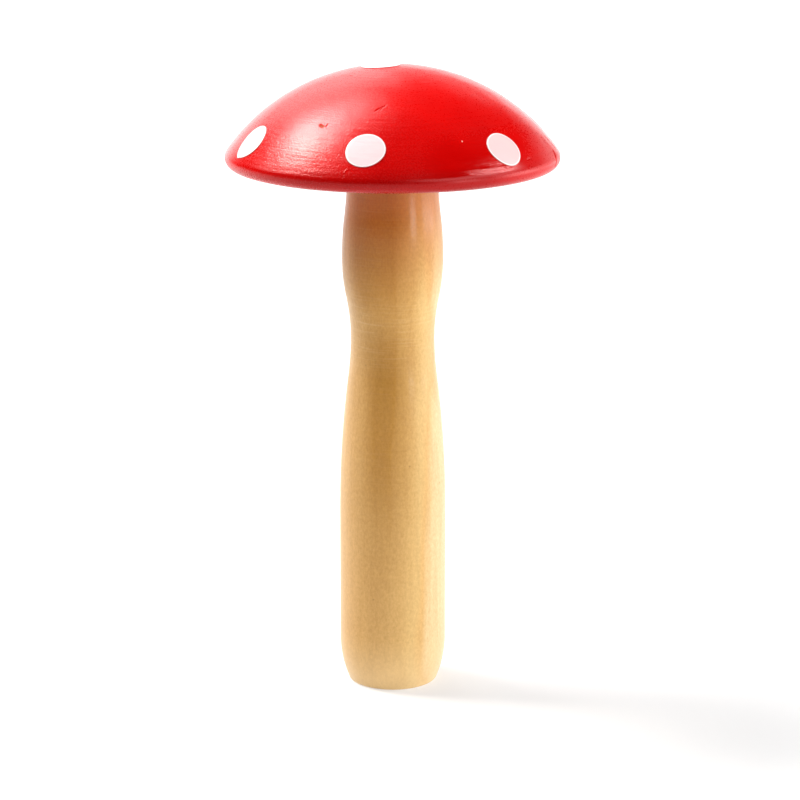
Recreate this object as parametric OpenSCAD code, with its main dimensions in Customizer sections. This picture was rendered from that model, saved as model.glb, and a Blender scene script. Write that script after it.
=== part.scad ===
// Darning mushroom: a turned wooden stem whose tenon is glued into a turned and painted cap.
// Millimetres, +Z up. The origin is the centre of the foot's flat face, and -Y is the front.

/* [Overall] */
// Height from the foot's face to the top of the painted dome
total_h = 100; // [90:0.5:130]

/* [Cap] */
// Diameter of the painted cap at its widest
cap_d = 52.3; // [46:0.1:62]
// Height of the painted cap, from its flat underside to the top of the dome
cap_h = 15.6; // [14.5:0.1:19]
// Radius of the rounding at the rim
rim_r = 1.5; // [0.8:0.1:2.2]
// Thickness of the red paint
paint_t = 0.12; // [0.06:0.01:0.25]

/* [Spots] */
// Diameter of a spot on the slope of the dome
rim_spot_d = 6.1; // [4:0.1:8]
// Gap along the slope between a spot's lower edge and the start of the rim's rounding
rim_spot_gap = 0.7; // [0.3:0.1:3]
// Angle round the axis from the front to the middle one of the three spots in front
middle_spot_angle = -10; // [-30:0.5:30]
// How much further up the slope that spot was painted
middle_spot_raise = 1.1; // [0:0.1:2]
// Angle from each of these three spots to the next: the other gaps share the rest of the turn
front_spot_pitch = 55.5; // [50:0.5:65]
// Diameter of the spot on the crown
crown_spot_d = 6.4; // [4:0.1:8]
// Distance of its centre from the dome's axis
crown_spot_off = 2; // [0:0.1:3]
// Angle round the axis from the front to that centre
crown_spot_angle = -115; // [-180:1:180]
// Height of a spot's middle above the red paint
spot_t = 0.2; // [0.12:0.01:0.35]

/* [Handle] */
// Diameter of the flat face that the stem stands on
foot_d = 13.4; // [11:0.1:14]
// Radius of the small rounding at the edge of that face
foot_edge_r = 0.5; // [0.3:0.1:0.8]
// Height over which the foot swells out to the handle
foot_h = 7; // [5:0.1:14]
// Diameter of the handle
handle_d = 17; // [15.5:0.1:20]
// Height of the long curve from the handle up to the waist
taper_h = 29; // [20:0.1:34]
// Share of that curve that bulges, on the handle's side
taper_bulge = 0.8; // [0.4:0.01:0.9]

/* [Waist and bulb] */
// Diameter of the waist
waist_d = 13.3; // [12:0.1:14.2]
// Height from the waist up to the widest part of the bulb
waist_h = 12.8; // [10:0.1:17]
// Share of the curve between them that bulges, on the bulb's side
waist_bulge = 0.5; // [0.25:0.01:0.75]
// Diameter of the bulb
bulb_d = 16; // [14.8:0.1:18]
// Height from the widest part of the bulb up to the cap
neck_h = 14.8; // [10:0.1:17]
// Share of the curve between them that bulges, on the bulb's side
neck_bulge = 0.45; // [0.25:0.01:0.75]
// Diameter of the neck where it meets the cap
neck_d = 14.2; // [12.5:0.1:14.4]

/* [Tenon joint] */
// Diameter of the tenon that goes up into the cap
tenon_d = 9; // [6:0.1:11]
// Length of the tenon above the stem's shoulder
tenon_l = 9.5; // [6:0.1:10.5]
// Chamfer at the tenon's end
tenon_chamfer = 0.8; // [0.4:0.1:1.5]
// Thickness of the glue between the tenon and the socket's wall
glue_t = 0.1; // [0.05:0.01:0.2]
// Room above the tenon's end in the socket
socket_room = 0.6; // [0.3:0.1:1]
// Point angle of the drill that made the socket
drill_angle = 118; // [110:1:150]
// Bare ring round the neck where the paint under the cap ends
paint_gap = 0.15; // [0.1:0.01:0.4]

/* [Hidden] */
RIM_SPOTS = 6;

$fn = 96;
// Facets of the spheres that a spot is cut from: more, because a spot is thin
spot_fn = 240;
// Largest distance between a profile's arc and the chords that stand for it
arc_error = 0.003;

// Heights of the cap's painted underside, and of the bare wood that rests on the stem's shoulder
under_z = total_h - cap_h;
seat_z = under_z + paint_t;

// Radius of an arc that ends against a small rounding inside it. The small rounding's centre lies
// along from the arc's top, measured on the tangent there, and away from that tangent.
function blend_r(along, away, small) =
    (along * along + away * away - small * small) / (2 * (away - small));

// Centre of the rim's rounding, and the dome that touches it
rim_c = [cap_d / 2 - rim_r, under_z + rim_r];
dome_r = blend_r(rim_c[0], cap_h - rim_r, rim_r);
dome_c = [0, total_h - dome_r];
// Height angle, seen from the dome's centre, at which the dome gives way to the rounding
rim_angle = acos(rim_c[0] / (dome_r - rim_r));
// Distance along the dome from its top to the centres of the rim spots
spot_slope = dome_r * (90 - rim_angle) * PI / 180 - rim_spot_gap - rim_spot_d / 2;

// Stations of the stem's profile, where it runs upright, as [radius, height]
neck = [neck_d / 2, seat_z];
bulb = [bulb_d / 2, seat_z - neck_h];
waist = [waist_d / 2, bulb[1] - waist_h];
handle_top = [handle_d / 2, waist[1] - taper_h];
handle_low = [handle_d / 2, foot_h];

// Centre of the foot's small rounding, and the swelling curve that touches it
edge_c = [foot_d / 2, foot_edge_r];
swell_r = blend_r(foot_h - foot_edge_r, handle_low[0] - edge_c[0], foot_edge_r);
swell_c = [handle_low[0] - swell_r, foot_h];
edge_angle = asin((edge_c[1] - swell_c[1]) / (swell_r - foot_edge_r));

socket_r = tenon_d / 2 + glue_t;
socket_depth = tenon_l + socket_room;
drill_point_h = socket_r / tan(drill_angle / 2);

// Steps that keep an arc of this radius and turn within arc_error
function steps(r, turn) = ceil(abs(turn) * PI / 180 / sqrt(8 * arc_error / r));

// Points of an arc about c, from angle a0 to angle a1, without its first ones if skip is given
function arc(c, r, a0, a1, skip = 0) =
    let (n = steps(r, a1 - a0))
    [for (i = [skip:n]) let (a = a0 + (a1 - a0) * i / n) c + r * [cos(a), sin(a)]];

// Two arcs that leave station p upright and reach station q upright, the first with p_share of
// the bend. p itself is left out, because it ends the curve before.
function ogee(p, q, p_share) =
    let (
        side = sign(q[0] - p[0]),
        bend_r = (pow(q[0] - p[0], 2) + pow(q[1] - p[1], 2)) / (2 * abs(q[0] - p[0])),
        turn = asin((q[1] - p[1]) / bend_r),
        p_r = p_share * bend_r,
        q_r = bend_r - p_r,
        p_n = steps(p_r, turn),
        q_n = steps(q_r, turn)
    )
    concat(
        [for (i = [1:p_n]) let (a = turn * i / p_n) p + p_r * [side * (1 - cos(a)), sin(a)]],
        [for (i = [1:q_n]) let (a = turn * (1 - i / q_n)) q - q_r * [side * (1 - cos(a)), sin(a)]]
    );

// Outline of the cap from the rim's lowest point, round the rim and up the dome to the axis,
// inset from the painted surface
function cap_outline(inset) = concat(
    arc(rim_c, rim_r - inset, -90, rim_angle),
    arc(dome_c, dome_r - inset, rim_angle, 90, 1)
);

function reverse(list) = [for (i = [len(list) - 1:-1:0]) list[i]];

// Turned wooden core of the cap, with the drilled socket for the tenon
module cap() {
    color("burlywood")
    rotate_extrude()
    polygon(concat(
        [
            [0, seat_z + socket_depth + drill_point_h],
            [socket_r, seat_z + socket_depth],
            [socket_r, seat_z]
        ],
        cap_outline(paint_t)
    ));
}

// Coat of paint over the dome, the rim and the underside, bare where the neck meets the wood
module red_paint_coat() {
    color("red")
    rotate_extrude()
    polygon(concat(
        [[neck[0] + paint_gap, seat_z], [neck[0] + paint_gap, under_z]],
        cap_outline(0),
        reverse(cap_outline(paint_t))
    ));
}

// Foot, handle, waist, bulb, neck, shoulder and tenon, turned from one piece
module stem() {
    color("tan")
    rotate_extrude()
    polygon(concat(
        [[0, 0]],
        arc(edge_c, foot_edge_r, -90, edge_angle),
        arc(swell_c, swell_r, edge_angle, 0, 1),
        [handle_top],
        ogee(handle_top, waist, taper_bulge),
        ogee(waist, bulb, 1 - waist_bulge),
        ogee(bulb, neck, neck_bulge),
        [
            [tenon_d / 2, seat_z],
            [tenon_d / 2, seat_z + tenon_l - tenon_chamfer],
            [tenon_d / 2 - tenon_chamfer, seat_z + tenon_l],
            [0, seat_z + tenon_l]
        ]
    ));
}

// Sleeve of glue round the straight part of the tenon
module glue_film() {
    color("wheat")
    rotate_extrude()
    translate([tenon_d / 2, seat_z])
    square([glue_t, tenon_l - tenon_chamfer]);
}

// A drop of paint, part of a smaller sphere that stands out of the dome by spot_t. Its centre is
// turned round the axis from the front, and lies down the slope from the top of the dome.
module spot(d, around, down) {
    sag = dome_r - sqrt(pow(dome_r, 2) - pow(d / 2, 2));
    drop_r = (pow(d / 2, 2) + pow(sag + spot_t, 2)) / (2 * (sag + spot_t));
    color("white")
    rotate([0, 0, around])
    translate([0, 0, dome_c[1]])
    rotate([down / dome_r * 180 / PI, 0, 0])
    difference() {
        translate([0, 0, dome_r + spot_t - drop_r])
        sphere(drop_r, $fn = spot_fn);
        sphere(dome_r, $fn = spot_fn);
    }
}

module crown_spot() {
    spot(crown_spot_d, crown_spot_angle, crown_spot_off);
}

// Spots 1, 2 and 3 are in front, from -X to +X, and the rest follow round the back
module rim_spot(i) {
    back_spot_pitch = (360 - 2 * front_spot_pitch) / (RIM_SPOTS - 2);
    from_middle = min(i - 2, 1) * front_spot_pitch + max(i - 3, 0) * back_spot_pitch;
    raise = i == 2 ? middle_spot_raise : 0;
    spot(rim_spot_d, middle_spot_angle + from_middle, spot_slope - raise);
}

cap();
red_paint_coat();
stem();
glue_film();
crown_spot();
rim_spot(1);  // rim_spot_1
rim_spot(2);  // rim_spot_2
rim_spot(3);  // rim_spot_3
rim_spot(4);  // rim_spot_4
rim_spot(5);  // rim_spot_5
rim_spot(6);  // rim_spot_6
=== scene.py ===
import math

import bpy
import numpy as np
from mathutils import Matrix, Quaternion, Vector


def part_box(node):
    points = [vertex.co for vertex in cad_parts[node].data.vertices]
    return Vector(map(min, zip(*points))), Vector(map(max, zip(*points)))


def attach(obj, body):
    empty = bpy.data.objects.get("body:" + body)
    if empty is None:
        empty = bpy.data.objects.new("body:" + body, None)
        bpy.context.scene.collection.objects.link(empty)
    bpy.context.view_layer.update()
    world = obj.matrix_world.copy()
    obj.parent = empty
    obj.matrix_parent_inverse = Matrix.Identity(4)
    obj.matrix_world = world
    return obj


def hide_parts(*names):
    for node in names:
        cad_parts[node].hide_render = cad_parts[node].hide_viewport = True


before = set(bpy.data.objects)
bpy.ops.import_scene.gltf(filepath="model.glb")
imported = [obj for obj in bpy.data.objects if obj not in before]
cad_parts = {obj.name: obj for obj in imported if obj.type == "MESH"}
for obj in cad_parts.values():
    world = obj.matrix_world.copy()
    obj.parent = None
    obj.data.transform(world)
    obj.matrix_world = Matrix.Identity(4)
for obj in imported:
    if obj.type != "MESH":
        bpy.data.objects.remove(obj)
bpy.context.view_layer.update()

# A darning mushroom: a turned wooden stem under a clear finish, glued into a domed cap with red
# lacquer and white spots. Lengths are in metres, or in millimetres where a name ends in _MM, and
# angles are in degrees. Around means round the axis from the front, which is -Y, towards +X. Down
# means along the dome's surface from its top.

MM = 0.001
COAT_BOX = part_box("red_paint_coat")
STEM_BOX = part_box("stem")

# Cap, as the frame has it
TOTAL_H = COAT_BOX[1].z
UNDER_Z = COAT_BOX[0].z
CAP_R = COAT_BOX[1].x
CAP_H = TOTAL_H - UNDER_Z
RIM_R = 1.5 * MM
PAINT_T = 0.12 * MM
SEAT_Z = UNDER_Z + PAINT_T
PAINT_GAP = 0.15 * MM
# How far the lacquer lies inside its solid, so that nothing leaves the frame's box
SKIN = 0.005 * MM

# Stem, from the foot up
FOOT_R = 6.7 * MM
FOOT_EDGE_R = 0.5 * MM
FOOT_H = 7 * MM
HANDLE_R = STEM_BOX[1].x
TAPER_H = 29 * MM
TAPER_BULGE = 0.8
WAIST_R = 6.65 * MM
WAIST_H = 12.8 * MM
WAIST_BULGE = 0.5
BULB_R = 8 * MM
NECK_H = 14.8 * MM
NECK_BULGE = 0.45
NECK_R = 7.1 * MM
TENON_R = 4.5 * MM
TENON_L = 9.5 * MM
TENON_CHAMFER = 0.8 * MM
# Radius of the hole in the lacquer that the neck goes through
HOLE_R = NECK_R + PAINT_GAP

# Spots
SPOT_R = 3.05 * MM
SPOT_EDGE_GAP = 0.7 * MM
CROWN_SPOT_R = 3.2 * MM
CROWN_SPOT_DOWN = 2 * MM
CROWN_SPOT_AROUND = -115
MIDDLE_SPOT_AROUND = -10
MIDDLE_SPOT_RAISE = 1.1 * MM
FRONT_SPOT_PITCH = 55.5
RIM_SPOTS = 6

# Camera, as in the photograph
CAMERA_DISTANCE = 450 * MM
CAMERA_ELEVATION = 14.68
CAMERA_LENS = 127.1
CAMERA_SENSOR = 36
CAMERA_AIM = Vector((1.163 * MM, 0, 46.49 * MM))
CAMERA_CLIP = (0.01, 60)


def blend_radius(along, away, small):
    """Radius of an arc that ends against a small rounding inside it."""
    return (along * along + away * away - small * small) / (2 * (away - small))


RIM_C = (CAP_R - RIM_R, UNDER_Z + RIM_R)
DOME_R = blend_radius(RIM_C[0], CAP_H - RIM_R, RIM_R)
DOME_Z = TOTAL_H - DOME_R
# Angle from straight up, seen from the dome's centre, at which the rim's rounding takes over
DOME_END = 90 - math.degrees(math.acos(RIM_C[0] / (DOME_R - RIM_R)))
DOME_LENGTH = DOME_R * math.radians(DOME_END)
SPOT_DOWN = DOME_LENGTH - SPOT_EDGE_GAP - SPOT_R


def round_axis(radius, height, around):
    """The point at that radius and height, turned that far round the axis."""
    a = math.radians(around)
    return np.array([radius * math.sin(a), -radius * math.cos(a), height])


def on_dome(around, down):
    """The point of the dome at that angle and distance from its top."""
    turn = down / DOME_R
    return round_axis(DOME_R * math.sin(turn), DOME_Z + DOME_R * math.cos(turn), around)


def on_rim(around, down):
    """The point of the rim's rounding, on which down goes on from the dome's end."""
    turn = math.radians(DOME_END) + (down - DOME_LENGTH) / RIM_R
    radius = RIM_C[0] + RIM_R * math.sin(turn)
    return round_axis(radius, RIM_C[1] + RIM_R * math.cos(turn), around)


# Smooth noise

# It adds up this many waves, whose lengths are between these shares of its lumps' size
WAVES = 40
WAVE_SHARES = (1.4, 3.2)
# Each use of it: the size of the lumps, and a seed
RIPPLE_WANDER = (9 * MM, 11)
RIPPLE_SWELL = (6 * MM, 12)
COAT_WOBBLE = (7 * MM, 13)
COAT_PEEL = (1.3 * MM, 14)
STEM_WOBBLE = (6 * MM, 21)
TURNING_WANDER = (12 * MM, 22)
WAIST_LINE_WANDER = (8 * MM, 23)
NECK_EDGE_WAVER = (2.5 * MM, 31)
DAUB_LUMP = 1.6 * MM
# Seed of the crown spot, and the rim spots count on from it
DAUB_SEED = 41


def wave_noise(points, size, seed):
    """Smooth noise about 0, mostly within 1.5 of it, at an array (..., 3) of points."""
    draw = np.random.default_rng(seed)
    way = draw.normal(size=(WAVES, 3))
    way /= np.linalg.norm(way, axis=1)[:, None]
    pace = 2 * math.pi / (size * draw.uniform(*WAVE_SHARES, WAVES))
    phase = draw.uniform(0, 2 * math.pi, WAVES)
    total = np.zeros(points.shape[:-1])
    for w, k, p in zip(way, pace, phase):
        total += np.sin(points @ (w * k) + p)
    return total / math.sqrt(WAVES)


# Relief of the lacquer

# Marks: stations as (around, down in millimetres), then width and depth in millimetres. A mark
# with a negative depth stands out.
COAT_MARKS = {
    "pit": ([(-33.2, 21.1), (-31.6, 21.3)], 0.18, 0.16),
    "pit_lip": ([(-30.6, 21.3), (-30.3, 20.8)], 0.13, -0.06),
    "scratch": ([(-8.7, 17.3), (-5.2, 16.3)], 0.1, 0.1),
    "second_scratch": ([(-6.4, 17.2), (-3.7, 16.0)], 0.08, 0.06),
    "scuff": ([(-16.3, 29.3), (-15.2, 28.6)], 0.09, -0.05),
    "nick": ([(-54.0, 8.0), (-51.0, 8.0)], 0.13, 0.09),
    "dash": ([(54.3, 28.9), (56.5, 28.9)], 0.12, 0.09),
    # Where the brush was lifted, a fold in the lacquer runs down over the rim
    "fold": ([(78.0, 29.2), (76.0, 30.0), (74.5, 30.8), (73.2, 31.5)], 0.15, 0.17),
    "fold_lip": ([(76.9, 29.2), (74.9, 30.0), (73.4, 30.8), (72.2, 31.4)], 0.17, -0.015),
    "upper_crease": ([(82.0, 26.8), (83.4, 27.8)], 0.1, 0.09),
    "lower_crease": ([(83.5, 28.3), (83.9, 29.4)], 0.12, 0.11),
}
# Specks of dust under the lacquer, as (around, down in millimetres), and the size of one
DUST = [
    (29.7, 9.9), (33.6, 17.4), (1.4, 27.1), (18.9, 21.3), (46.0, 12.5),
    (-128.0, 16.0), (158.0, 22.5), (112.0, 12.0), (-166.0, 9.0),
]
DUST_LENGTH = 0.2
DUST_R = 0.11 * MM
DUST_H = 0.06 * MM
# The low turned ridge just above the rim's rounding
RIDGE_DOWN = 29.3 * MM
RIDGE_W = 0.34 * MM
RIDGE_H = 0.014 * MM
# Turned ripples, and how far they wander, in radians of one wave
RIPPLE_LENGTH = 1.15 * MM
RIPPLE_H = 0.007 * MM
RIPPLE_BEND = 1.5
# The unevenness of hand painting, coarse and fine
WOBBLE_H = 0.02 * MM
PEEL_H = 0.007 * MM


def mark(points, path, width, depth):
    """A groove, or with a negative depth a ridge, along a path of points."""
    path = np.asarray(path, float)
    nearest = np.full(points.shape[:-1], np.inf)
    for p, q in zip(path[:-1], path[1:]):
        along = q - p
        share = np.clip((points - p) @ along / (along @ along), 0, 1)
        gap = points - (p + share[..., None] * along)
        nearest = np.minimum(nearest, np.linalg.norm(gap, axis=-1))
    return depth * np.exp(-((nearest / width) ** 2))


def coat_path(stations):
    """Points for stations (around, down in millimetres) on the dome and on round the rim."""
    points = []
    for around, down_mm in stations:
        down = down_mm * MM
        points.append(on_rim(around, down) if down > DOME_LENGTH else on_dome(around, down))
    return points


def coat_relief(points, down):
    """How far the lacquer is pressed in at points that lie that far down from the dome's top."""
    swell = 0.5 + 0.5 * wave_noise(points, *RIPPLE_SWELL)
    wander = RIPPLE_BEND * wave_noise(points, *RIPPLE_WANDER)
    ripples = RIPPLE_H * swell * np.sin(2 * math.pi * down / RIPPLE_LENGTH + wander)
    wobble = WOBBLE_H * (0.5 + 0.25 * wave_noise(points, *COAT_WOBBLE))
    peel = PEEL_H * wave_noise(points, *COAT_PEEL)
    ridge = -RIDGE_H * np.exp(-(((down - RIDGE_DOWN) / RIDGE_W) ** 2))
    # All of it but the wobble fades out above the rim's rounding, which sets the cap's width
    fade = np.clip((DOME_LENGTH - down) / RIM_R, 0, 1)
    pressed = wobble + fade * (ripples + peel + ridge)
    for stations, width, depth in COAT_MARKS.values():
        pressed = pressed + mark(points, coat_path(stations), width * MM, depth * MM)
    for around, far in DUST:
        grain = coat_path([(around, far), (around + DUST_LENGTH, far)])
        pressed = pressed + mark(points, grain, DUST_R, -DUST_H)
    return pressed


# Relief of the stem

# Unevenness of hand sanding, longer along the stem than across it
STEM_WOBBLE_H = 0.012 * MM
STEM_WOBBLE_STRETCH = (1, 1, 0.6)
# Faint rings that the gouge left
TURNING_LENGTH = 1.7 * MM
TURNING_H = 0.003 * MM
# Fine lines round the waist, as heights, and one line's size and how far it wanders
WAIST_LINES = [61.1 * MM, 60.3 * MM, 59.2 * MM, 58.4 * MM, 57.1 * MM, 55.9 * MM]
WAIST_LINE_W = 0.1 * MM
WAIST_LINE_DEPTH = 0.012 * MM
WAIST_LINE_BEND = 0.12 * MM


def stem_relief(points, height):
    """How far the stem's wood is pressed in at points of that height."""
    wobble = wave_noise(points * STEM_WOBBLE_STRETCH, *STEM_WOBBLE)
    wander = wave_noise(points, *TURNING_WANDER)
    pressed = STEM_WOBBLE_H * (1 + 0.5 * wobble)
    pressed = pressed + TURNING_H * np.sin(2 * math.pi * height / TURNING_LENGTH + wander)
    shift = WAIST_LINE_BEND * wave_noise(points, *WAIST_LINE_WANDER)
    for line_z in WAIST_LINES:
        away = (height - line_z + shift) / WAIST_LINE_W
        pressed = pressed + WAIST_LINE_DEPTH * np.exp(-(away**2))
    return pressed


# Profiles, as lists of (radius, height)

# Points of a profile that lie closer than this become one
JOIN_GAP = 0.01 * MM
# Shortest step that a normal is worked out from
TINY = 1e-12


def refined(values, fine, gap):
    """Sorted values, closer together inside each fine (low, high, step), none within the gap."""
    for low, high, step in fine:
        values = [v for v in values if not low < v < high]
        values += np.arange(low, high, step).tolist()
    kept = []
    for v in sorted(values):
        if not kept or v - kept[-1] > gap:
            kept.append(v)
    return kept


def arc(centre, radius, start, end, step):
    """Points of an arc between two angles, about a step apart."""
    count = max(2, math.ceil(radius * math.radians(abs(end - start)) / step))
    turn = np.radians(np.linspace(start, end, count + 1))
    return [(centre[0] + radius * math.cos(a), centre[1] + radius * math.sin(a)) for a in turn]


def line(p, q, step):
    """Points of a straight line, both ends included, about a step apart."""
    count = max(1, math.ceil(math.dist(p, q) / step))
    across, up = q[0] - p[0], q[1] - p[1]
    return [(p[0] + across * k / count, p[1] + up * k / count) for k in range(count + 1)]


def ogee(p, q, share, step):
    """Two arcs that leave p upright and reach q upright, the first with that share of the bend."""
    side = math.copysign(1, q[0] - p[0])
    bend = ((q[0] - p[0]) ** 2 + (q[1] - p[1]) ** 2) / (2 * abs(q[0] - p[0]))
    turn = math.asin((q[1] - p[1]) / bend)
    first = share * bend
    second = (1 - share) * bend
    points = []
    count = max(3, math.ceil(first * turn / step))
    for k in range(count + 1):
        a = turn * k / count
        points.append((p[0] + first * side * (1 - math.cos(a)), p[1] + first * math.sin(a)))
    count = max(3, math.ceil(second * turn / step))
    for k in range(count + 1):
        a = turn * (1 - k / count)
        points.append((q[0] - second * side * (1 - math.cos(a)), q[1] - second * math.sin(a)))
    return points


def joined(*parts):
    """One list of the points of several, without points that repeat."""
    points = []
    for p in (p for part in parts for p in part):
        if not points or math.dist(points[-1], p) > JOIN_GAP:
            points.append(p)
    return points


def swept(profile, around):
    """Rows of points for a profile turned through those angles."""
    profile = np.asarray(profile)
    a = np.radians(around)
    r = profile[:, 0][:, None]
    z = np.broadcast_to(profile[:, 1][:, None], (len(profile), len(a)))
    return np.stack([r * np.sin(a), -r * np.cos(a), z], axis=-1)


def normals_of(profile):
    """Outward normals (radial, up) of a profile that is walked with its outside on the right."""
    ahead = np.gradient(np.asarray(profile), axis=0)
    ahead /= np.maximum(np.linalg.norm(ahead, axis=1), TINY)[:, None]
    return np.stack([ahead[:, 1], -ahead[:, 0]], axis=-1)


def pressed_in(profile, around, relief):
    """Rows for a profile with its relief, which is an array with a value for each point."""
    return swept(profile, around) - swept(normals_of(profile), around) * relief[..., None]


# Meshes

def turned_mesh(name, grid):
    """A closed, smooth mesh from rows of points that each go once round. All the points of the
    first row become one, and so do those of the last."""
    rows, columns = grid.shape[:2]
    points = np.vstack([grid[0].mean(0), grid[1:-1].reshape(-1, 3), grid[-1].mean(0)])
    i, j = np.meshgrid(np.arange(rows - 3), np.arange(columns), indexing="ij")
    k = (j + 1) % columns
    low, high = 1 + i * columns, 1 + (i + 1) * columns
    quads = np.stack([low + j, low + k, high + k, high + j], axis=-1).reshape(-1, 4)
    c = np.arange(columns)
    d = (c + 1) % columns
    last_row = 1 + (rows - 3) * columns
    last_point = np.full_like(c, len(points) - 1)
    start = np.stack([np.zeros_like(c), 1 + d, 1 + c], axis=-1)
    end = np.stack([last_point, last_row + c, last_row + d], axis=-1)
    mesh = bpy.data.meshes.new(name)
    mesh.from_pydata(points.tolist(), [], start.tolist() + quads.tolist() + end.tolist())
    mesh.shade_smooth()
    mesh.update()
    return mesh


def in_scene(name, data):
    """A new object of the scene."""
    made = bpy.data.objects.new(name, data)
    bpy.context.scene.collection.objects.link(made)
    return made


def piece(name, mesh, material, node):
    """An object of the part that rides with it and stands for that node."""
    made = in_scene(name, mesh)
    mesh.materials.append(material)
    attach(made, "root")
    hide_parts(node)


# Lacquer's mesh

# Distances between rows of points on the hidden face: dome, rim and underside
INNER_STEP = 1.5 * MM
INNER_RIM_STEP = 0.4 * MM
INNER_FLAT_STEP = 4 * MM
# The same on the face that shows: underside, rim and dome
UNDER_STEP = 0.8 * MM
RIM_STEP = 0.14 * MM
DOME_STEP = 0.26 * MM
DOME_ROW_GAP = 0.02 * MM
# Where the dome's rows come closer, for its marks and its edge: from, to and step
DOME_FINE = [
    (7.6 * MM, 8.5 * MM, 0.1 * MM),
    (15.7 * MM, 17.6 * MM, 0.09 * MM),
    (20.3 * MM, 21.8 * MM, 0.08 * MM),
    (26.8 * MM, DOME_LENGTH, 0.12 * MM),
]
# Angle between the columns of points, and where they come closer for marks: from, to and step
COAT_COLUMN_STEP = 1.5
COAT_COLUMN_GAP = 0.05
COAT_COLUMNS_FINE = [
    (-55.0, -50.0, 0.5),
    (-34.6, -28.4, 0.25),
    (-17.0, -14.6, 0.25),
    (-9.6, -2.8, 0.3),
    (53.5, 57.5, 0.35),
    (70.0, 86.0, 0.3),
]
# The rounded edge round the neck, as (out from the hole, up from the underside), and how far out
# from the hole the hidden face ends and the flat underside starts
NECK_EDGE = [(0.0, 0.11 * MM), (0.03 * MM, 0.06 * MM), (0.1 * MM, 0.015 * MM)]
INNER_OUT = 0.15 * MM
UNDER_OUT = 0.22 * MM
# How strongly that edge wavers, and how far out and in it may go
WAVER_H = 0.05 * MM
WAVER_LIMITS = (-0.02 * MM, 0.06 * MM)


def coat_inside():
    """The lacquer's hidden face, from its top out round the rim and in to the neck."""
    return joined(
        [(0.0, TOTAL_H - PAINT_T)],
        reversed(arc((0, DOME_Z), DOME_R - PAINT_T, 90 - DOME_END, 90, INNER_STEP)),
        reversed(arc(RIM_C, RIM_R - PAINT_T, -90, 90 - DOME_END, INNER_RIM_STEP)),
        line((RIM_C[0], SEAT_Z), (HOLE_R + INNER_OUT, SEAT_Z), INNER_FLAT_STEP),
    )


def coat_rows():
    """Distances from the dome's top of its rows of points, from its edge to the top."""
    even = np.arange(0, DOME_LENGTH, DOME_STEP).tolist()
    down = refined([*even, DOME_LENGTH], DOME_FINE, DOME_ROW_GAP)
    down[-1] = DOME_LENGTH
    return np.array(down)[::-1]


def coat_mesh():
    """The shell of lacquer: hidden face, the edge round the neck, underside, rim and dome."""
    inside = coat_inside()
    edge = [(HOLE_R + out, UNDER_Z + up) for out, up in NECK_EDGE]
    under = line((HOLE_R + UNDER_OUT, UNDER_Z + SKIN), (RIM_C[0], UNDER_Z + SKIN), UNDER_STEP)
    rim = arc(RIM_C, RIM_R - SKIN, -90, 90 - DOME_END, RIM_STEP)
    down = coat_rows()
    r = DOME_R - SKIN
    dome = [(r * math.sin(s / DOME_R), DOME_Z + r * math.cos(s / DOME_R)) for s in down]
    profile = inside + edge + under + rim[1:] + dome[1:]
    even = np.arange(-180, 180, COAT_COLUMN_STEP).tolist()
    around = np.array(refined(even, COAT_COLUMNS_FINE, COAT_COLUMN_GAP))
    rows = swept(profile, around)
    relief = np.zeros(rows.shape[:2])
    hidden = len(inside)
    shown = hidden + len(edge)
    # Rows of the dome know how far down they lie, and those of the rim and underside lie beyond it
    far = np.full(len(profile), DOME_LENGTH + RIM_R)
    far[-len(down) + 1 :] = down[1:]
    far = np.broadcast_to(far[:, None], relief.shape)
    relief[shown:] = coat_relief(rows[shown:], far[shown:])
    waver = WAVER_H * wave_noise(rows[hidden:shown], *NECK_EDGE_WAVER)
    relief[hidden:shown] = np.clip(waver, *WAVER_LIMITS)
    return turned_mesh("lacquer", pressed_in(profile, around, relief))


# Stem's mesh

# Distances between rows of points: foot, its edge, curves, taper, waist, shoulder and tenon
FOOT_STEP = 0.6 * MM
FOOT_EDGE_STEP = 0.1 * MM
STEM_STEP = 0.45 * MM
TAPER_STEP = STEM_STEP / 2
WAIST_STEP = 0.16 * MM
SHOULDER_STEP = 0.8 * MM
TENON_STEP = 3 * MM
STEM_COLUMNS = 200
# The relief ends just below the cap, so that the neck fits its hole
RELIEF_TOP = SEAT_Z - 0.3 * MM


def stem_profile():
    """Outline of the stem from the middle of the foot to the end of the tenon."""
    neck = (NECK_R, SEAT_Z)
    bulb = (BULB_R, SEAT_Z - NECK_H)
    waist = (WAIST_R, bulb[1] - WAIST_H)
    handle_top = (HANDLE_R, waist[1] - TAPER_H)
    handle_low = (HANDLE_R, FOOT_H)
    edge_c = (FOOT_R, FOOT_EDGE_R)
    swell_r = blend_radius(FOOT_H - FOOT_EDGE_R, HANDLE_R - FOOT_R, FOOT_EDGE_R)
    swell_c = (HANDLE_R - swell_r, FOOT_H)
    meet = math.degrees(math.asin((edge_c[1] - swell_c[1]) / (swell_r - FOOT_EDGE_R)))
    return joined(
        line((0.0, 0.0), (FOOT_R, 0.0), FOOT_STEP),
        arc(edge_c, FOOT_EDGE_R, -90, meet, FOOT_EDGE_STEP),
        arc(swell_c, swell_r, meet, 0, STEM_STEP),
        line(handle_low, handle_top, STEM_STEP),
        ogee(handle_top, waist, TAPER_BULGE, TAPER_STEP),
        ogee(waist, bulb, 1 - WAIST_BULGE, WAIST_STEP),
        ogee(bulb, neck, NECK_BULGE, STEM_STEP),
        line(neck, (TENON_R, SEAT_Z), SHOULDER_STEP),
        line((TENON_R, SEAT_Z), (TENON_R, SEAT_Z + TENON_L - TENON_CHAMFER), TENON_STEP),
        [(TENON_R - TENON_CHAMFER, SEAT_Z + TENON_L), (0.0, SEAT_Z + TENON_L)],
    )


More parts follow.
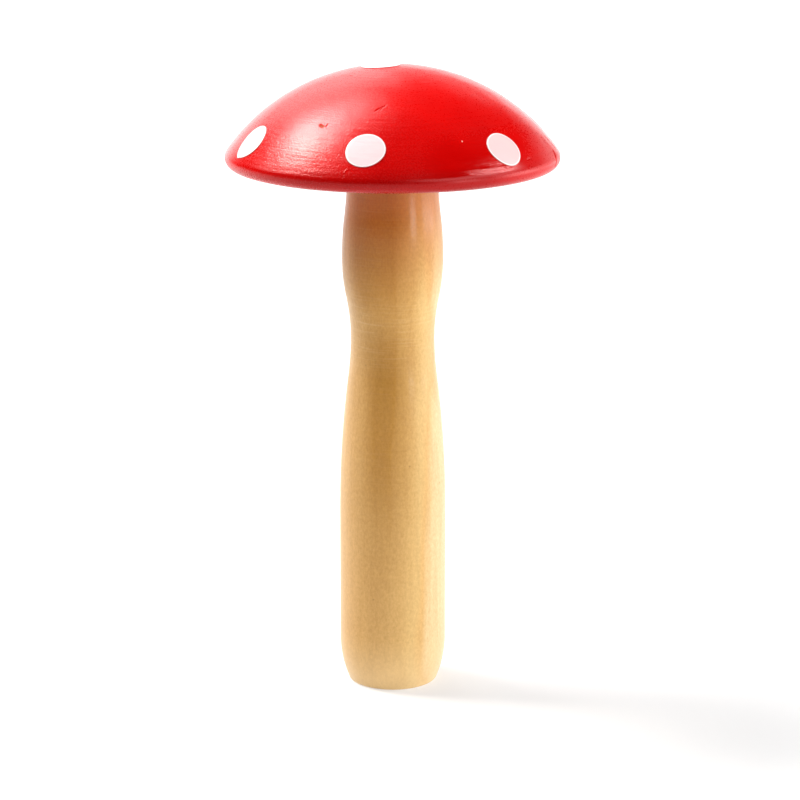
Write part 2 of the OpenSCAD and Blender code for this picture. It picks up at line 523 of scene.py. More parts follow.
def stem_mesh():
    """Foot, handle, waist, bulb, neck, shoulder and tenon, turned from one piece."""
    profile = stem_profile()
    around = np.arange(-180, 180, 360 / STEM_COLUMNS)
    rows = swept(profile, around)
    height = rows[..., 2]
    shown = (height > FOOT_EDGE_R) & (height < RELIEF_TOP)
    relief = np.where(shown, stem_relief(rows, height), 0.0)
    return turned_mesh("turned_stem", pressed_in(profile, around, relief))


# Spots' meshes

# How each spot's outline departs from a circle: (how many bulges, share of the radius, where the
# first bulge points, from the way round the axis towards up the slope)
SPOT_SHAPES = {
    "crown_spot": [(2, 0.02, 20), (3, 0.012, 80)],
    "rim_spot_1": [(2, 0.035, 95), (3, 0.025, 1), (4, 0.009, 65)],
    "rim_spot_2": [(2, 0.022, 40), (3, 0.008, 107), (5, 0.004, 71)],
    "rim_spot_3": [(2, 0.011, 163), (3, 0.01, 32), (4, 0.012, 80)],
    "rim_spot_4": [(2, 0.03, 120), (3, 0.012, 50)],
    "rim_spot_5": [(2, 0.018, 70), (3, 0.015, 10), (4, 0.008, 30)],
    "rim_spot_6": [(2, 0.026, 10), (3, 0.01, 95)],
}
# The brush left a small tail on one spot: which way it points, how wide it is and how far it goes
TAIL_SPOT = "rim_spot_1"
TAIL_ANGLE = 256
TAIL_WIDTH = 9
TAIL_REACH = 0.07
# Height of the paint, of the ridge that dried near its edge, and how deep it goes into the red
SPOT_T = 0.1 * MM
SPOT_RIDGE = 0.012 * MM
SPOT_SUNK = 0.03 * MM
# Where the ridge and the rounded edge are, as shares of the way out, and the ridge's width
SPOT_RIDGE_AT = 0.84
SPOT_RIDGE_W = 0.09
SPOT_EDGE_AT = 0.93
# Unevenness of the paint, and the share of the way out where it ends
DAUB_UNEVEN = 0.006 * MM
DAUB_UNEVEN_END = 0.95
# Angle between a spot's points, its rings as shares of the way out, and its lower face's ring
DAUB_COLUMN_STEP = 3.75
DAUB_EDGE_RINGS = [0.78, 0.83, 0.88, 0.92, 0.945, 0.965, 0.98, 0.992, 1.0]
DAUB_RINGS = np.concatenate([np.linspace(0, 0.72, 9), DAUB_EDGE_RINGS])
DAUB_UNDER_RING = 6
# Name of the layer that tells the material how far out on a spot it is
DAUB_LAYER = "daub"


def spot_outline(name, radius, angle):
    """Distance from the spot's centre to its edge at those angles."""
    shape = np.ones_like(angle)
    for bulges, share, where in SPOT_SHAPES[name]:
        shape += share * np.cos(np.radians(bulges * (angle - where)))
    if name == TAIL_SPOT:
        shape += TAIL_REACH * np.exp(-(((angle - TAIL_ANGLE) / TAIL_WIDTH) ** 2))
    return radius * shape


def spot_height(share):
    """Height of the paint over the dome, by the share of the way to the spot's edge."""
    ridge = SPOT_RIDGE * np.exp(-(((share - SPOT_RIDGE_AT) / SPOT_RIDGE_W) ** 2))
    drop = np.clip((share - SPOT_EDGE_AT) / (1 - SPOT_EDGE_AT), 0, 1)
    body = (SPOT_T + ridge + SPOT_SUNK) * np.sqrt(1 - drop**2)
    return body - SPOT_SUNK


def spot_ways(name, radius, around, down, angle):
    """Directions from the dome's centre to the rings of a spot's points."""
    centre = on_dome(around, down) - (0, 0, DOME_Z)
    centre /= np.linalg.norm(centre)
    a = math.radians(around)
    sideways = np.array([math.cos(a), math.sin(a), 0.0])
    upwards = np.cross(centre, sideways)
    turn = np.radians(angle)[None, :, None]
    way = np.cos(turn) * sideways + np.sin(turn) * upwards
    reach = DAUB_RINGS[:, None] * spot_outline(name, radius, angle)[None, :]
    bend = (reach / DOME_R)[..., None]
    return np.cos(bend) * centre + np.sin(bend) * way


def mark_shares(mesh, columns):
    """Gives each corner of a spot's mesh its share of the way out, for the material."""
    rings = np.repeat(DAUB_RINGS[::-1][:-1], columns)
    under = np.full(columns, DAUB_RINGS[DAUB_UNDER_RING])
    shares = np.concatenate([[0.0], under, rings, [0.0]])
    layer = mesh.uv_layers.new(name=DAUB_LAYER)
    for corner in mesh.loops:
        layer.data[corner.index].uv = (shares[corner.vertex_index], 0.5)


def spot_mesh(name, radius, around, down, seed):
    """A thick daub of paint that follows the dome, closed underneath."""
    dome_c = (0, 0, DOME_Z)
    angle = np.arange(0, 360, DAUB_COLUMN_STEP)
    out = spot_ways(name, radius, around, down, angle)
    share = DAUB_RINGS[:, None]
    uneven = DAUB_UNEVEN * wave_noise(out * DOME_R + dome_c, DAUB_LUMP, seed)
    height = spot_height(share) + uneven * (share < DAUB_UNEVEN_END)
    top = out * (DOME_R + height)[..., None] + dome_c
    under = out[[0, DAUB_UNDER_RING]] * (DOME_R - SPOT_SUNK) + dome_c
    mesh = turned_mesh(name, np.concatenate([under, top[::-1]]))
    mark_shares(mesh, len(angle))
    return mesh


# Materials

# A ramp by height takes its heights as shares of this one
RAMP_HEIGHT_MM = 84.4


class Graph:
    """One material and short ways to add nodes to it."""

    def __init__(self, name):
        self.material = bpy.data.materials.new(name)
        self.material.use_nodes = True
        self.tree = self.material.node_tree
        self.tree.nodes.clear()

    def node(self, kind, inputs=(), **settings):
        """A new shader node with its settings, and with values or links in its inputs."""
        made = self.tree.nodes.new("ShaderNode" + kind)
        for key, value in settings.items():
            setattr(made, key, value)
        for key, value in dict(inputs).items():
            self.put(made.inputs[key], value)
        return made

    def put(self, socket, value):
        """Links a socket to another one, or sets its value."""
        if isinstance(value, bpy.types.NodeSocket):
            self.tree.links.new(value, socket)
        else:
            socket.default_value = value

    def math(self, operation, a, b=0.0, clamp=False):
        return self.node("Math", {0: a, 1: b}, operation=operation, use_clamp=clamp).outputs[0]

    def times(self, a, b):
        return self.math("MULTIPLY", a, b)

    def plus(self, a, b):
        return self.math("ADD", a, b)

    def place(self):
        """Position on the object, in millimetres."""
        at = self.node("TexCoord").outputs["Object"]
        return self.scaled(at, (1 / MM, 1 / MM, 1 / MM))

    def scaled(self, vector, by):
        return self.node("VectorMath", {0: vector, 1: by}, operation="MULTIPLY").outputs[0]

    def axes(self, vector):
        return self.node("SeparateXYZ", {0: vector}).outputs[:3]

    def vector(self, x, y, z):
        return self.node("CombineXYZ", {0: x, 1: y, 2: z}).outputs[0]

    def length(self, vector):
        return self.node("VectorMath", {0: vector}, operation="LENGTH").outputs["Value"]

    def distance(self, a, b):
        return self.node("VectorMath", {0: a, 1: b}, operation="DISTANCE").outputs["Value"]

    def noise(self, vector, scale, detail=3.0, roughness=0.5):
        inputs = {"Vector": vector, "Scale": scale, "Detail": detail, "Roughness": roughness}
        return self.node("TexNoise", inputs).outputs[0]

    def specks(self, vector, scale):
        """Distance from the nearest of many scattered points."""
        inputs = {"Vector": vector, "Scale": scale, "Randomness": 1.0}
        return self.node("TexVoronoi", inputs, feature="F1").outputs[0]

    def between(self, value, none, full):
        """0 at none and 1 at full, which may be the smaller of the two, and held beyond them."""
        inputs = {"Value": value, "From Min": none, "From Max": full}
        return self.node("MapRange", inputs).outputs[0]

    def ramp(self, value, stops, interpolation="LINEAR"):
        """A colour ramp through stops (position, colour or grey)."""
        made = self.node("ValToRGB", {0: value})
        bar = made.color_ramp
        bar.interpolation = interpolation
        while len(bar.elements) < len(stops):
            bar.elements.new(1.0)
        for element, (position, colour) in zip(bar.elements, stops):
            element.position = position
            grey = isinstance(colour, (int, float))
            element.color = (colour, colour, colour, 1) if grey else (*colour, 1)
        return made.outputs[0]

    def by_height(self, height, stops):
        """A ramp whose stops are given by their heights in millimetres."""
        return self.ramp(height, [(z / RAMP_HEIGHT_MM, value) for z, value in stops])

    def mix(self, share, a, b, blend="MIX"):
        """Colour a with that share of colour b, blended in as told."""
        made = self.node("Mix", data_type="RGBA", blend_type=blend)
        self.put(made.inputs[0], share)
        # Inputs 6 and 7 are the colours, after those for numbers and vectors
        for index, colour in ((6, a), (7, b)):
            linked = isinstance(colour, bpy.types.NodeSocket)
            self.put(made.inputs[index], colour if linked else (*colour, 1))
        return made.outputs[2]

    def bump(self, height, distance, before=None):
        """A bumpy normal, on top of the bumps before it."""
        inputs = {"Height": height, "Distance": distance, "Strength": 1.0}
        if before is not None:
            inputs["Normal"] = before
        return self.node("Bump", inputs).outputs[0]

    def finish(self, **inputs):
        """The material with its shader, whose inputs are named with _ for a space."""
        shader = self.node("BsdfPrincipled", {k.replace("_", " "): v for k, v in inputs.items()})
        out = self.node("OutputMaterial")
        self.tree.links.new(shader.outputs[0], out.inputs[0])
        return self.material


def turning_lines(g, at, across, along):
    """Noise in thin rings round the axis, from its scales across the rings and along them."""
    x, y, _ = g.axes(at)
    radial = g.length(g.vector(x, y, 0.0))
    rings = g.vector(g.times(x, along), g.times(y, along), g.times(radial, across))
    return g.noise(rings, 1.0, roughness=0.6)


# Lacquer

LACQUER_LINES = (2.6, 0.12)
LACQUER_GRAIN = 3.8
LACQUER_CLOUD = 0.16
# Its reds, the duller one in its turning lines, and how much of that shows
LACQUER_REDS = [(0.3, (0.65, 0.0006, 0.0005)), (0.7, (0.70, 0.0012, 0.0008))]
LINE_RED = (0.50, 0.001, 0.0007)
LINE_STOPS = [(0.30, 0.0), (0.62, 0.14)]
# Each pair below is where something has faded out, and where it is full. Painted shade darkens
# the front of the lower slope: heights, and distances from the axis to the left and to the right.
SLOPE_PAINTED_SHADE = (0.79, 0.79, 0.79)
SLOPE_PAINTED_SHADE_MM = (97.5, 88.9)
SLOPE_PAINTED_SHADE_LEFT_MM = (-9.0, -1.0)
SLOPE_PAINTED_SHADE_RIGHT_MM = (20.0, 14.0)
# Painted shade darkens the red at the rim, fading out to the left and right: heights from the rim
# up, how much over that stretch, and distances to either side
RIM_SHADE_RED = (0.33, 0.0006, 0.0006)
RIM_SHADE_MM = (84.4, 88.6)
RIM_SHADE_STOPS = [(0.0, 0.72), (0.45, 0.64), (1.0, 0.0)]
RIM_SHADE_SIDES_MM = (26.0, 13.0)
# Pale dust that settled in it while it dried
DUST_SCALE = 0.16
DUST_STOPS = [(0.014, 0.85), (0.024, 0.0)]
DUST_COLOUR = (0.95, 0.50, 0.42)
# The slope above the rim was burnished between these heights: how much over that stretch, and
# distances from the axis at its left end and its right end
BURNISHED_MM = (86.2, 92.8)
BURNISHED_STOPS = [(0.0, 0.0), (0.1, 0.6), (0.5, 0.6), (1.0, 0.0)]
BURNISHED_LEFT_MM = (3.0, 9.0)
BURNISHED_RIGHT_MM = (21.5, 17.5)
# It dried grainy and a little glossier round this place: distances from there
GRAINY_AT = (-11.0, -19.8, 90.8)
GRAINY_MM = (18.0, 9.0)
GRAINY_GLOSS = 0.2
# In the lower part of the grainy place the brush marks get deeper: heights
BRUSHED_MM = (91.8, 89.2)
LACQUER_ROUGHNESS = [(0.3, 0.25), (0.7, 0.37)]
# Strength of the grain everywhere, and what the grainy place adds
GRAIN_AMOUNT = 0.07
GRAIN_IN_GRAINY = 0.85
GRAIN_H = 0.05 * MM
# Strength of the turning lines everywhere, and what each place adds
LINES_AMOUNT = 0.6
LINES_IN_GRAINY = 0.4
LINES_IN_BRUSHED = 0.7
LINES_IN_BURNISHED = 0.15
LINES_H = 0.036 * MM


def lacquer_colour(g, at, lines):
    """Red that is deeper in its lines, with painted shade on the front of the slope and at the
    rim, and some pale dust.
    """
    x, _, z = g.axes(at)
    colour = g.ramp(g.noise(at, LACQUER_CLOUD, detail=2.0), LACQUER_REDS)
    colour = g.mix(g.ramp(lines, LINE_STOPS), colour, LINE_RED)
    # Painted shade on the front of the lower slope
    side = g.times(g.between(x, *SLOPE_PAINTED_SHADE_LEFT_MM), g.between(x, *SLOPE_PAINTED_SHADE_RIGHT_MM))
    painted_slope_shade = g.times(side, g.between(z, *SLOPE_PAINTED_SHADE_MM))
    colour = g.mix(painted_slope_shade, colour, SLOPE_PAINTED_SHADE, "MULTIPLY")
    # Painted shade at the rim
    painted_rim_shade = g.ramp(g.between(z, *RIM_SHADE_MM), RIM_SHADE_STOPS, "EASE")
    painted_rim_shade = g.times(painted_rim_shade, g.between(g.math("ABSOLUTE", x), *RIM_SHADE_SIDES_MM))
    colour = g.mix(painted_rim_shade, colour, RIM_SHADE_RED)
    return g.mix(g.ramp(g.specks(at, DUST_SCALE), DUST_STOPS), colour, DUST_COLOUR)


def lacquer_bumps(g, grain, lines, grainy, burnished, z):
    """Grain and turning lines, each strongest where the lacquer dried that way."""
    amount = g.plus(g.times(grainy, GRAIN_IN_GRAINY), GRAIN_AMOUNT)
    bumps = g.bump(g.times(grain, amount), GRAIN_H)
    brushed = g.plus(g.times(g.between(z, *BRUSHED_MM), LINES_IN_BRUSHED), LINES_IN_GRAINY)
    strength = g.plus(g.times(grainy, brushed), LINES_AMOUNT)
    strength = g.plus(strength, g.times(burnished, LINES_IN_BURNISHED))
    return g.bump(g.times(lines, strength), LINES_H, bumps)


def lacquer_material():
    """Thick red lacquer brushed over turned wood."""
    g = Graph("red_lacquer")
    at = g.place()
    x, _, z = g.axes(at)
    lines = turning_lines(g, at, *LACQUER_LINES)
    grain = g.noise(at, LACQUER_GRAIN, detail=2.0, roughness=0.55)
    grainy = g.between(g.distance(at, GRAINY_AT), *GRAINY_MM)
    burnished = g.ramp(g.between(z, *BURNISHED_MM), BURNISHED_STOPS)
    burnished = g.times(burnished, g.between(x, *BURNISHED_LEFT_MM))
    burnished = g.times(burnished, g.between(x, *BURNISHED_RIGHT_MM))
    glossy = g.math("MAXIMUM", burnished, g.times(grainy, GRAINY_GLOSS))
    rough = g.times(g.ramp(grain, LACQUER_ROUGHNESS), g.math("SUBTRACT", 1.0, glossy))
    return g.finish(
        Base_Color=lacquer_colour(g, at, lines),
        Roughness=rough,
        Normal=lacquer_bumps(g, grain, lines, grainy, burnished, z),
        IOR=1.5,
        Specular_Tint=(1.0, 0.43, 0.43, 1),
    )


# White paint

SPOT_STREAKS = (4.2, 0.25)
SPOT_GRAIN = 3.0
# The paint lets the red through, less and more. Towards the right it is pinker still, which is
# painted shade: distances from the axis where that has faded out and where it is full
SPOT_PINK = (0.92, 0.70, 0.72)
SPOT_THIN_PINK = (0.92, 0.62, 0.64)
SPOT_RIGHT_SHADE_PINK = (0.93, 0.60, 0.60)
SPOT_THIN_STOPS = [(0.35, 0.35), (0.7, 1.0)]
SPOT_RIGHT_SHADE_MM = (4.0, 12.0)
# It is thick and white near its edge, and at the very edge the red shows through, darkened further
# by painted shade
SPOT_WHITE = (0.97, 0.93, 0.93)
SPOT_WHITE_STOPS = [(0.88, 0.0), (0.94, 1.0)]
SPOT_EDGE_RED_AND_SHADE = (0.42, 0.02, 0.02)
SPOT_EDGE_RED_AND_SHADE_STOPS = [(0.955, 0.0), (0.985, 1.0)]
SPOT_ROUGHNESS = [(0.3, 0.28), (0.7, 0.42)]
SPOT_BUMP_H = 0.012 * MM


def white_paint_material():
    """Thick white paint, pink where it is thin, pinker at the right as painted shade, and whitest
    near each spot's edge.
    """
    g = Graph("white_spot_paint")
    at = g.place()
    share = g.axes(g.node("UVMap", uv_map=DAUB_LAYER).outputs[0])[0]
    streaks = turning_lines(g, at, *SPOT_STREAKS)
    grain = g.noise(at, SPOT_GRAIN)
    pink = g.mix(g.ramp(streaks, SPOT_THIN_STOPS), SPOT_PINK, SPOT_THIN_PINK)
    # Painted shade makes the spots at the right pinker
    pink = g.mix(g.between(g.axes(at)[0], *SPOT_RIGHT_SHADE_MM), pink, SPOT_RIGHT_SHADE_PINK)
    colour = g.mix(g.ramp(share, SPOT_WHITE_STOPS), pink, SPOT_WHITE)
    # The red showing through at the edge, with painted shade
    colour = g.mix(g.ramp(share, SPOT_EDGE_RED_AND_SHADE_STOPS), colour, SPOT_EDGE_RED_AND_SHADE)
    bumps = g.bump(grain, SPOT_BUMP_H, g.bump(streaks, SPOT_BUMP_H))
    return g.finish(
        Base_Color=colour, Roughness=g.ramp(grain, SPOT_ROUGHNESS), Normal=bumps, IOR=1.5
    )


# Wood

# The tree's heart lay this far to the left of the stem and behind it, so its rings cross the stem
# as upright bands
HEART_MM = (-35.4, 6.3)
# Nearest and farthest distance from that heart on the stem
RING_RANGE_MM = (26.0, 46.0)
# How the rings wander, coarsely and finely: the noise's scale on each axis, and its reach
RING_WARPS_MM = [((0.05, 0.05, 0.022), 3.0), ((0.4, 0.4, 0.05), 1.6)]
# Colours of the rings by distance from the heart in millimetres. The last and palest, at the
# stem's right side, is partly a painted highlight.
RING_AND_HIGHLIGHT_STOPS = [
    (30.2, (0.80, 0.486, 0.185)),
    (33.2, (0.82, 0.495, 0.17)),
    (36.0, (0.82, 0.50, 0.175)),
    (39.9, (0.845, 0.54, 0.20)),
    (41.6, (0.86, 0.585, 0.235)),
    (42.5, (0.85, 0.53, 0.20)),
    (43.3, (0.90, 0.67, 0.36)),
]
# The gold band down the front: its strength by that distance and by height in millimetres
GOLD_WOOD_AND_SHADE = (0.60, 0.295, 0.048)
BAND_STOPS = [
    (29.8, 0.05), (32.4, 0.37), (35.0, 1.0), (37.7, 1.0),
    (38.2, 0.77), (39.6, 0.57), (41.1, 0.2), (42.0, 0.0),
]
BAND_HEIGHTS = [
    (3, 0.05), (8, 0.12), (20.6, 0.4), (27, 0.52), (34, 0.85), (40, 1.0),
    (53, 1.0), (57, 0.9), (60, 0.68), (63.5, 0.85), (66.5, 1.0), (84, 1.0),
]
# The same for painted shade and painted red reflection from the cap, which widen it to the left
# from the bulb up
BULB_SHADE_STOPS = [(30.2, 0.0), (32.6, 1.0), (35.2, 0.0)]
BULB_SHADE_HEIGHTS = [(60, 0.0), (66.5, 0.9), (72, 1.0)]
# Tone that all of it is multiplied by, by height in millimetres. It is a little darker at the
# waist, and from the bulb up it is painted shade and painted red reflection from the cap's
# underside.
STEM_TONE_AND_CAP_SHADE = [
    (16, (0.96, 0.95, 0.93)),
    (27, (0.94, 0.93, 0.91)),
    (33, (0.92, 0.91, 0.88)),
    (43, (0.94, 0.94, 0.93)),
    (53, (0.87, 0.87, 0.84)),
    (58, (0.88, 0.88, 0.86)),
    (62, (0.91, 0.91, 0.89)),
    (66, (0.86, 0.81, 0.72)),
    (71, (0.78, 0.63, 0.44)),
    (76, (0.76, 0.50, 0.29)),
    (80, (0.71, 0.37, 0.16)),
    (84, (0.70, 0.31, 0.12)),
]
# Fibres along the stem, flecks that are multiplied in, and dark specks: scales, colours and how
# much of each shows
FIBRE_SCALE = (1.1, 1.1, 0.06)
FIBRE_COLOUR = (0.46, 0.215, 0.052)
FIBRE_STOPS = [(0.42, 0.0), (0.72, 0.14)]
FLECK_SCALE = (2.8, 2.8, 1.7)
FLECK_STOPS = [(0.30, (1.0, 1.0, 1.0)), (0.68, (0.83, 0.77, 0.69))]
SPECK_SCALE = 0.22
SPECK_COLOUR = (0.30, 0.14, 0.04)
SPECK_STOPS = [(0.025, 0.4), (0.04, 0.0)]


def by_ring(g, share, stops):
    """A ramp whose stops are given by their distances from the tree's heart."""
    low, high = RING_RANGE_MM
    return g.ramp(share, [((distance - low) / (high - low), value) for distance, value in stops])


def ring_share(g, at):
    """Distance from the tree's heart, as a share of its range. It wanders along the stem."""
    x, y, _ = g.axes(at)
    from_heart = g.vector(
        g.math("SUBTRACT", x, HEART_MM[0]), g.math("SUBTRACT", y, HEART_MM[1]), 0.0
    )
    distance = g.length(from_heart)
    for scale, reach in RING_WARPS_MM:
        warp = g.noise(g.scaled(at, scale), 1.0, detail=2.0)
        distance = g.plus(distance, g.times(g.math("SUBTRACT", warp, 0.5), reach))
    return g.between(distance, *RING_RANGE_MM)


def wood_colour(g, at, height):
    """Growth rings with a gold band, fibres, flecks and specks, with painted shade and painted red
    reflection from the cap towards the top and a painted highlight at the right side, and the
    fibres and flecks.
    """
    share = ring_share(g, at)
    band = g.times(by_ring(g, share, BAND_STOPS), g.by_height(height, BAND_HEIGHTS))
    # Painted shade and painted red reflection from the cap widen the gold band at the bulb
    painted_bulb_shade = g.times(by_ring(g, share, BULB_SHADE_STOPS), g.by_height(height, BULB_SHADE_HEIGHTS))
    gold_band_and_shade = g.math("ADD", band, painted_bulb_shade, clamp=True)
    # The palest ring colour is partly a painted highlight at the stem's right side
    colour = g.mix(gold_band_and_shade, by_ring(g, share, RING_AND_HIGHLIGHT_STOPS), GOLD_WOOD_AND_SHADE)
    # Painted shade and painted red reflection from the cap, towards the top
    colour = g.mix(1.0, colour, g.by_height(height, STEM_TONE_AND_CAP_SHADE), "MULTIPLY")
    fibre = g.noise(g.scaled(at, FIBRE_SCALE), 1.0, roughness=0.55)
    colour = g.mix(g.ramp(fibre, FIBRE_STOPS), colour, FIBRE_COLOUR)
    fleck = g.noise(g.scaled(at, FLECK_SCALE), 1.0, detail=4.0, roughness=0.7)
    colour = g.mix(1.0, colour, g.ramp(fleck, FLECK_STOPS), "MULTIPLY")
    colour = g.mix(g.ramp(g.specks(at, SPECK_SCALE), SPECK_STOPS), colour, SPECK_COLOUR)
    return colour, fibre, fleck


# Stem's material

# Pale wood shows where the finish is rubbed: in the sandpaper's lines and in its longest scratch
# round the waist; and the wood is paler towards the foot. How much of each, by height in
# millimetres.
PALE_WOOD = (0.92, 0.68, 0.36)
SANDING_SCALE = (0.14, 0.14, 3.6)
SANDING_STOPS = [(0.50, 0.0), (0.70, 1.0)]
SANDED = [(52, 0.03), (56.5, 0.13), (61.5, 0.14), (66, 0.03)]
SANDING_SCRATCH = [(61.1, 0.0), (61.2, 0.5), (61.3, 0.0)]
PALE_FOOT = [(0.5, 0.5), (4, 0.3), (9, 0.0)]
# How the scratch wavers: the noise's scale, and its reach as a share of the ramps' height
SCRATCH_WAVER_SCALE = 0.25
SCRATCH_WAVER = 0.0035
STEM_ROUGHNESS = [(0.3, 0.40), (0.7, 0.52)]
STEM_FIBRE_H = 0.008 * MM
STEM_SANDING_H = 0.008 * MM
STEM_FLECK_H = 0.012 * MM


def rubbed_wood(g, at, height, colour, sanding):
    """The stem's colour with the pale places where its finish is rubbed, and paler towards the
    foot.
    """
    lines = g.times(g.ramp(sanding, SANDING_STOPS), g.by_height(height, SANDED))
    colour = g.mix(lines, colour, PALE_WOOD)
    waver = g.times(g.noise(at, SCRATCH_WAVER_SCALE), SCRATCH_WAVER)
    scratch = g.by_height(g.plus(height, waver), SANDING_SCRATCH)
    colour = g.mix(scratch, colour, PALE_WOOD)
    return g.mix(g.by_height(height, PALE_FOOT), colour, PALE_WOOD)


def stem_material():
    """Pale turned wood under a thin clear finish."""
    g = Graph("clear_finished_wood")
    at = g.place()
    height = g.math("DIVIDE", g.axes(at)[2], RAMP_HEIGHT_MM)
    colour, fibre, fleck = wood_colour(g, at, height)
    sanding = g.noise(g.scaled(at, SANDING_SCALE), 1.0, roughness=0.6)
    bumps = g.bump(fibre, STEM_FIBRE_H)
    bumps = g.bump(sanding, STEM_SANDING_H, bumps)
    bumps = g.bump(fleck, STEM_FLECK_H, bumps)
    return g.finish(
        Base_Color=rubbed_wood(g, at, height, colour, sanding),
        Roughness=g.ramp(fibre, STEM_ROUGHNESS),
        Normal=bumps,
        IOR=1.45,
        Specular_Tint=(1.0, 0.8, 0.55, 1),
        Coat_Weight=0.35,
        Coat_Roughness=0.16,
    )


# Materials of the pieces that hardly show

BARE_WOOD_ROUGHNESS = [(0.3, 0.6), (0.7, 0.8)]
BARE_WOOD_FIBRE_H = 0.03 * MM
GLUE_CLOUD = 0.8
GLUE_COLOURS = [(0.3, (0.62, 0.44, 0.20)), (0.7, (0.74, 0.58, 0.32))]
GLUE_ROUGHNESS = [(0.3, 0.25), (0.7, 0.4)]
GLUE_CLOUD_H = 0.02 * MM


def bare_wood_material():
    """The cap's unfinished core, which shows only in a thin ring round the neck."""
    g = Graph("bare_cap_wood")
    at = g.place()
    height = g.math("DIVIDE", g.axes(at)[2], RAMP_HEIGHT_MM)
    colour, fibre, fleck = wood_colour(g, at, height)
    rough = g.ramp(fleck, BARE_WOOD_ROUGHNESS)
    return g.finish(Base_Color=colour, Roughness=rough, Normal=g.bump(fibre, BARE_WOOD_FIBRE_H))


def glue_material():
    """Dried wood glue: amber, a little cloudy."""
    g = Graph("dried_glue")
    cloud = g.noise(g.place(), GLUE_CLOUD)
    return g.finish(
        Base_Color=g.ramp(cloud, GLUE_COLOURS),
        Roughness=g.ramp(cloud, GLUE_ROUGHNESS),
        Normal=g.bump(cloud, GLUE_CLOUD_H),
    )


# Studio

# The floor is white paper that glows, more so beyond the lamps: how much near and far, and the
# distances from the object between which it changes
FLOOR_REACH = 40.0
FLOOR_GLOW = 0.5
FAR_GLOW = 1.0
FAR_MM = (350.0, 900.0)
FLOOR_CLOUD = 0.02
FLOOR_GREYS = [(0.3, 0.46), (0.7, 0.48)]
FLOOR_ROUGHNESS = 0.8
ROOM_GLOW = 0.01
WHITE = (1.0, 1.0, 1.0)
WARM = (1.0, 0.97, 0.90)
# Lamps and panels: around, elevation, distance, (width, height), radiance, and for some of them
# their colour and tilt
LAMPS = {
    "key": (-105, 52, 0.8, (0.16, 0.16), 64, WARM),
    "key_top": (-88, 64, 0.8, (0.14, 0.1), 8),
    "key_low": (-108, 38, 0.9, (0.3, 0.22), 3.5),
    "key_flank": (-125, 56, 0.8, (0.16, 0.3), 24),
    "key_tail": (-150, 63, 0.8, (0.22, 0.28), 6),
    "left_back": (-160, 35, 1.0, (0.59, 0.45), 2.2),
    "back_wall": (-174, 8, 1.0, (1.05, 0.38), 2.3),
    "right_back": (132, 8, 1.0, (0.7, 0.38), 1.3),
    "back_high": (168, 31, 1.0, (0.4, 0.14), 0.9),
    "right_side": (94, 8, 1.0, (0.6, 0.38), 5.3),
    "right_front": (40, 35, 1.0, (0.59, 0.45), 2.9),
    "right_high": (80, 35, 1.0, (0.59, 0.45), 2.6),
    # It gives the long streak above the rim at the right
    "right_strip": (93, 43.5, 0.9, (0.56, 0.022), 19, WHITE, -30),
    "neck_glint": (50, 7, 1.0, (0.26, 0.3), 7.5),
}


def direction(around, elevation):
    """The way to something from the object, by the angle round it and above the floor."""
    a, e = math.radians(around), math.radians(elevation)
    return Vector((math.sin(a) * math.cos(e), -math.cos(a) * math.cos(e), math.sin(e)))


def softbox(name, around, elevation, distance, size, radiance, colour=WHITE, tilt=0):
    """A rectangular light that faces the middle of the object, turned about that line by tilt."""
    data = bpy.data.lights.new(name, "AREA")
    data.shape = "RECTANGLE"
    data.size, data.size_y = size
    data.energy = radiance * math.pi * size[0] * size[1]
    data.color = colour
    lamp = in_scene(name, data)
    way = direction(around, elevation)
    lamp.location = Vector((0, 0, TOTAL_H / 2)) + way * distance
    lamp.rotation_mode = "QUATERNION"
    turn = Quaternion((0, 0, 1), math.radians(tilt))
    lamp.rotation_quaternion = way.to_track_quat("Z", "Y") @ turn


def studio():
    """Lamps high on the left, panels on the other sides, and a dim room."""
    for name, values in LAMPS.items():
        softbox(name, *values)
    world = bpy.data.worlds.new("dim_room")
    world.use_nodes = True
    background = world.node_tree.nodes["Background"]
    background.inputs["Color"].default_value = (*WHITE, 1)
    background.inputs["Strength"].default_value = ROOM_GLOW
    bpy.context.scene.world = world


def floor_material():
    """White paper, a little cloudy."""
    g = Graph("pale_floor")
    at = g.place()
    far = g.between(g.length(at), *FAR_MM)
    return g.finish(
        Base_Color=g.ramp(g.noise(at, FLOOR_CLOUD, detail=2.0), FLOOR_GREYS),
        Roughness=FLOOR_ROUGHNESS,
        Emission_Color=(*WHITE, 1),
        Emission_Strength=g.plus(g.times(far, FAR_GLOW - FLOOR_GLOW), FLOOR_GLOW),
    )


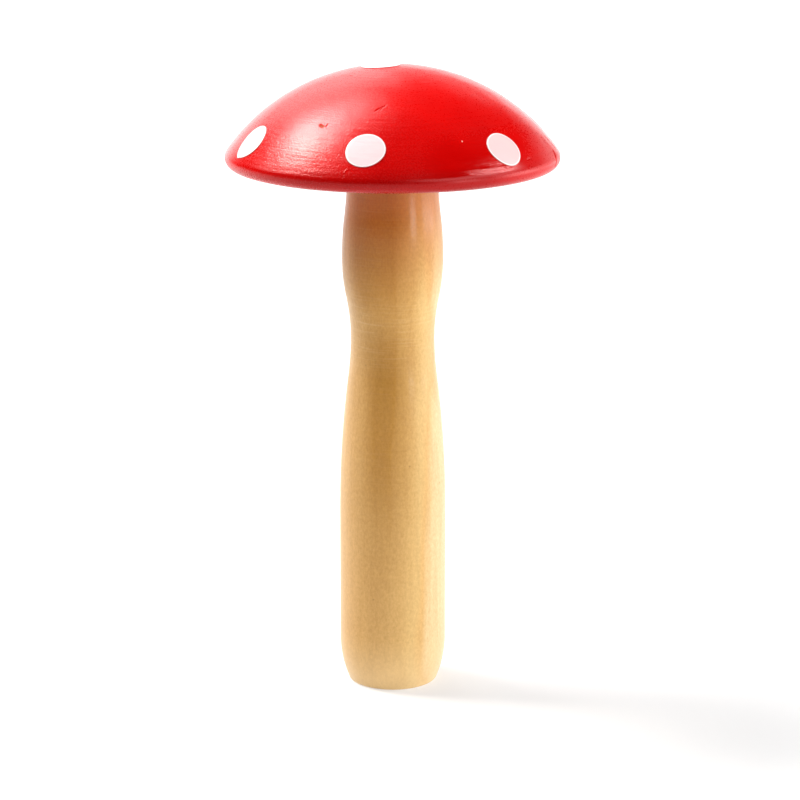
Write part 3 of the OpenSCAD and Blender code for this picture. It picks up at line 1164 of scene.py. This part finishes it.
def floor():
    """The plain pale floor, far wider than the picture."""
    ways = [(-1, -1), (1, -1), (1, 1), (-1, 1)]
    corners = [(x * FLOOR_REACH, y * FLOOR_REACH, 0) for x, y in ways]
    mesh = bpy.data.meshes.new("floor")
    mesh.from_pydata(corners, [], [(0, 1, 2, 3)])
    mesh.materials.append(floor_material())
    in_scene("floor", mesh)


def camera():
    """The photograph's view: square, from the front and a little above."""
    data = bpy.data.cameras.new("camera")
    data.sensor_width = CAMERA_SENSOR
    data.lens = CAMERA_LENS
    data.clip_start, data.clip_end = CAMERA_CLIP
    eye = in_scene("camera", data)
    back = direction(0, CAMERA_ELEVATION)
    eye.location = CAMERA_AIM + back * CAMERA_DISTANCE
    eye.rotation_mode = "QUATERNION"
    eye.rotation_quaternion = (-back).to_track_quat("-Z", "Y")
    bpy.context.scene.camera = eye


# Putting it together

def spots():
    """The seven daubs of white paint."""
    paint = white_paint_material()
    mesh = spot_mesh("crown_spot", CROWN_SPOT_R, CROWN_SPOT_AROUND, CROWN_SPOT_DOWN, DAUB_SEED)
    piece("crown_daub", mesh, paint, "crown_spot")
    # The first three are in front, and the rest share what is left of the turn
    back_pitch = (360 - 2 * FRONT_SPOT_PITCH) / (RIM_SPOTS - 2)
    for i in range(1, RIM_SPOTS + 1):
        from_middle = min(i - 2, 1) * FRONT_SPOT_PITCH + max(i - 3, 0) * back_pitch
        down = SPOT_DOWN - (MIDDLE_SPOT_RAISE if i == 2 else 0)
        node = f"rim_spot_{i}"
        mesh = spot_mesh(node, SPOT_R, MIDDLE_SPOT_AROUND + from_middle, down, DAUB_SEED + i)
        piece(f"rim_daub_{i}", mesh, paint, node)


def paint_node(name, material):
    """Gives a carried-over node its material."""
    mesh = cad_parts[name].data
    mesh.materials.clear()
    mesh.materials.append(material)


camera()
studio()
floor()
piece("lacquer", coat_mesh(), lacquer_material(), "red_paint_coat")
piece("turned_stem", stem_mesh(), stem_material(), "stem")
spots()
paint_node("cap", bare_wood_material())
paint_node("glue_film", glue_material())

bpy.context.scene.view_settings.view_transform = "Standard"
